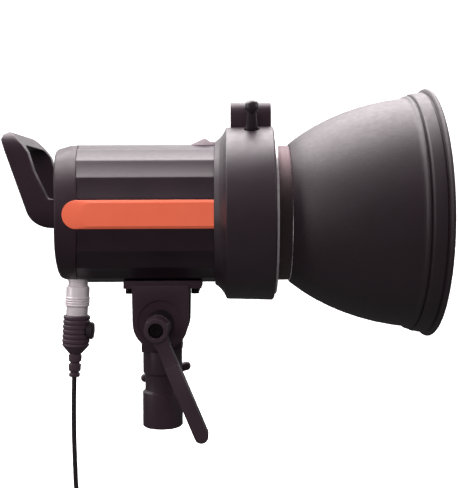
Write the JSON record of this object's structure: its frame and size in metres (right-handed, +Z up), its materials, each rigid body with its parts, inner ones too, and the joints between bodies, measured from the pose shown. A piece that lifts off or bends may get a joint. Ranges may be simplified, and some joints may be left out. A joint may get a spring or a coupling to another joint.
{
  "type": "monolight strobe",
  "caption": "Compact studio flash head: faceted tube body with loop handle, bayonet bowl reflector, tilting stand bracket with clamp lever, and power lead.",
  "frame": {"origin": "centre of the mouth of the stand socket, on the socket's axis", "axes": "+Z up, along the stand socket; +X towards the front of the lamp; +Y to the lamp's left, away from the clamp lever"},
  "size_m": [0.3089, 0.185, 0.3847],
  "materials": {
    "cast_metal": "satin powder coat over die casting",
    "brass_pad": "turned, dull",
    "black_steel": "black oxide, semi-gloss",
    "fibre": "pressed fibre, matt",
    "bright_steel": "turned bright",
    "dark_steel": "black oxide, turned",
    "tube_finish": "satin anodised extrusion, fine grain",
    "satin_plastic": "fine moulded texture, satin",
    "ring_plastic": "fine moulded texture, satin",
    "orange_panel": "smooth, semi-gloss",
    "sensor_plastic": "translucent smoked, glossy",
    "knob_plastic": "moulded, satin",
    "nylon": "moulded, matt",
    "pin_metal": "black enamel, semi-gloss",
    "neck_metal": "dark anodised, turned",
    "bowl_finish": "dark semi-gloss enamel outside, bright pebbled inside",
    "white_ceramic": "white, semi-gloss",
    "quartz": "clear quartz with frosted ends",
    "lamp_phosphor": "phosphor under a clear lens",
    "frosted_glass": "frosted, smooth outside",
    "aluminium_fins": "extruded, plain",
    "circuit_board": "green solder mask",
    "capacitor_sleeve": "shrink sleeve, glossy",
    "coil_wrap": "varnished tape",
    "panel_black": "smooth overlay, semi-gloss",
    "display_glass": "dark window, glossy",
    "orange_button": "smooth, semi-gloss",
    "button_rubber": "moulded silicone, matt",
    "switch_red": "moulded, glossy",
    "port_metal": "nickel plated",
    "fan_black": "moulded, matt",
    "inlet_metal": "nickel plated, turned",
    "plug_plastic": "moulded, satin",
    "boot_rubber": "moulded, matt",
    "lead_jacket": "extruded jacket, satin",
    "tie_strap": "woven hook-and-loop strap"
  },
  "bodies": {
    "stand": {"stand_adapter": "cast_metal"},
    "head": {"yoke": "cast_metal", "yoke_screws": "black_steel", "friction_washers": "fibre", "clamp_nut": "bright_steel", "body_tube": "tube_finish", "rear_cap": "satin_plastic", "front_ring": "ring_plastic", "side_panel_near": "orange_panel", "side_panel_far": "orange_panel", "handle": "satin_plastic", "handle_screws": "black_steel", "sensor_window": "sensor_plastic", "umbrella_holder": "cast_metal", "lock_spring": "bright_steel", "bayonet_plate": "bright_steel", "flash_dish": "white_ceramic", "flash_tube": "quartz", "modelling_lamp": "lamp_phosphor", "glass_dome": "frosted_glass", "heat_sink": "aluminium_fins", "chassis": "aluminium_fins", "power_board": "circuit_board", "capacitors": "capacitor_sleeve", "trigger_coil": "coil_wrap", "control_board": "circuit_board", "control_panel": "panel_black", "display_window": "display_glass", "port_block": "port_metal", "fan_frame": "fan_black", "power_inlet": "inlet_metal", "plug_collar": "inlet_metal", "plug_boot": "boot_rubber", "strain_relief": "boot_rubber", "lead": "lead_jacket", "lead_coil": "lead_jacket", "lead_tie": "tie_strap", "lead_plug": "plug_plastic"},
    "stud_pad": {"stud_pad": "brass_pad"},
    "stud_screw": {"stud_screw": "cast_metal"},
    "clamp": {"clamp_stud": "dark_steel", "lever_screw": "black_steel", "lever_spring": "bright_steel"},
    "lever": {"clamp_lever": "cast_metal"},
    "umbrella_pad": {"umbrella_pad": "nylon"},
    "umbrella_screw": {"umbrella_screw": "knob_plastic"},
    "lock_pin": {"lock_pin": "pin_metal"},
    "reflector": {"reflector_neck": "neck_metal", "reflector_bowl": "bowl_finish", "reflector_rivets": "bright_steel"},
    "dial": {"control_dial": "knob_plastic"},
    "dial_button": {"dial_button": "orange_button"},
    "menu_button": {"menu_button": "button_rubber"},
    "sync_button": {"sync_button": "button_rubber"},
    "test_button": {"test_button": "button_rubber"},
    "power_switch": {"power_switch": "switch_red"},
    "fan": {"fan_rotor": "fan_black"},
    "plug_release": {"plug_release": "plug_plastic"}
  },
  "joints": [
    {"name": "head_tilt", "type": "hinge", "parent": "stand", "child": "head", "pos_m": [0, 0, 0.08], "axis": [0, 1, 0], "range_deg": [-35, 75]},
    {"name": "clamp_turn", "type": "hinge", "parent": "head", "child": "clamp", "pos_m": [0, 0, 0.08], "axis": [0, 1, 0], "range_deg": [-60, 95]},
    {"name": "lever_pull", "type": "slide", "parent": "clamp", "child": "lever", "axis": [0, -1, 0], "range_m": [0, 0.0025], "stiffness_N_per_m": 900, "springref_m": -0.002, "deforming": ["lever_spring"]},
    {"name": "stud_pad_slide", "type": "slide", "parent": "stand", "child": "stud_pad", "axis": [0, -1, 0], "range_m": [0, 0.0025]},
    {"name": "stud_screw_turn", "type": "hinge", "parent": "stud_pad", "child": "stud_screw", "pos_m": [0, 0.03, 0.034], "axis": [0, -1, 0], "range_deg": [0, 720]},
    {"name": "umbrella_pad_slide", "type": "slide", "parent": "head", "child": "umbrella_pad", "axis": [0, -1, 0], "range_m": [0, 0.0012]},
    {"name": "umbrella_screw_turn", "type": "hinge", "parent": "umbrella_pad", "child": "umbrella_screw", "pos_m": [0.0675, 0.014, 0.234], "axis": [0, -1, 0], "range_deg": [0, 540]},
    {"name": "lock_pin_pull", "type": "slide", "parent": "head", "child": "lock_pin", "axis": [0, -0.309, 0.9511], "range_m": [0, 0.004], "stiffness_N_per_m": 700, "springref_m": -0.004, "deforming": ["lock_spring"]},
    {"name": "reflector_twist", "type": "hinge", "parent": "head", "child": "reflector", "pos_m": [0.09, 0, 0.16], "axis": [1, 0, 0], "range_deg": [0, 30]},
    {"name": "dial_turn", "type": "hinge", "parent": "head", "child": "dial", "pos_m": [-0.0751, 0, 0.1605], "axis": [1, 0, 0], "continuous": true},
    {"name": "dial_press", "type": "slide", "parent": "dial", "child": "dial_button", "axis": [1, 0, 0], "range_m": [0, 0.0007], "stiffness_N_per_m": 600, "springref_m": -0.0006},
    {"name": "menu_press", "type": "slide", "parent": "head", "child": "menu_button", "axis": [1, 0, 0], "range_m": [0, 0.0008], "stiffness_N_per_m": 600, "springref_m": -0.0006},
    {"name": "sync_press", "type": "slide", "parent": "head", "child": "sync_button", "axis": [1, 0, 0], "range_m": [0, 0.0008], "stiffness_N_per_m": 600, "springref_m": -0.0006},
    {"name": "test_press", "type": "slide", "parent": "head", "child": "test_button", "axis": [1, 0, 0], "range_m": [0, 0.0008], "stiffness_N_per_m": 600, "springref_m": -0.0006},
    {"name": "power_rock", "type": "hinge", "parent": "head", "child": "power_switch", "pos_m": [-0.0741, 0.021, 0.15], "axis": [0, 0, 1], "range_deg": [-16, 0]},
    {"name": "fan_spin", "type": "hinge", "parent": "head", "child": "fan", "pos_m": [-0.055, 0, 0.16], "axis": [1, 0, 0], "continuous": true},
    {"name": "plug_release_press", "type": "slide", "parent": "head", "child": "plug_release", "axis": [-0.999, 0, 0.0454], "range_m": [0, 0.0011], "stiffness_N_per_m": 800, "springref_m": -0.0008}
  ],
  "couplings": [
    {"joint": "stud_screw_turn", "follows": "stud_pad_slide", "rad_per_m": 5026.5},
    {"joint": "umbrella_screw_turn", "follows": "umbrella_pad_slide", "rad_per_m": 7853.9}
  ]
}
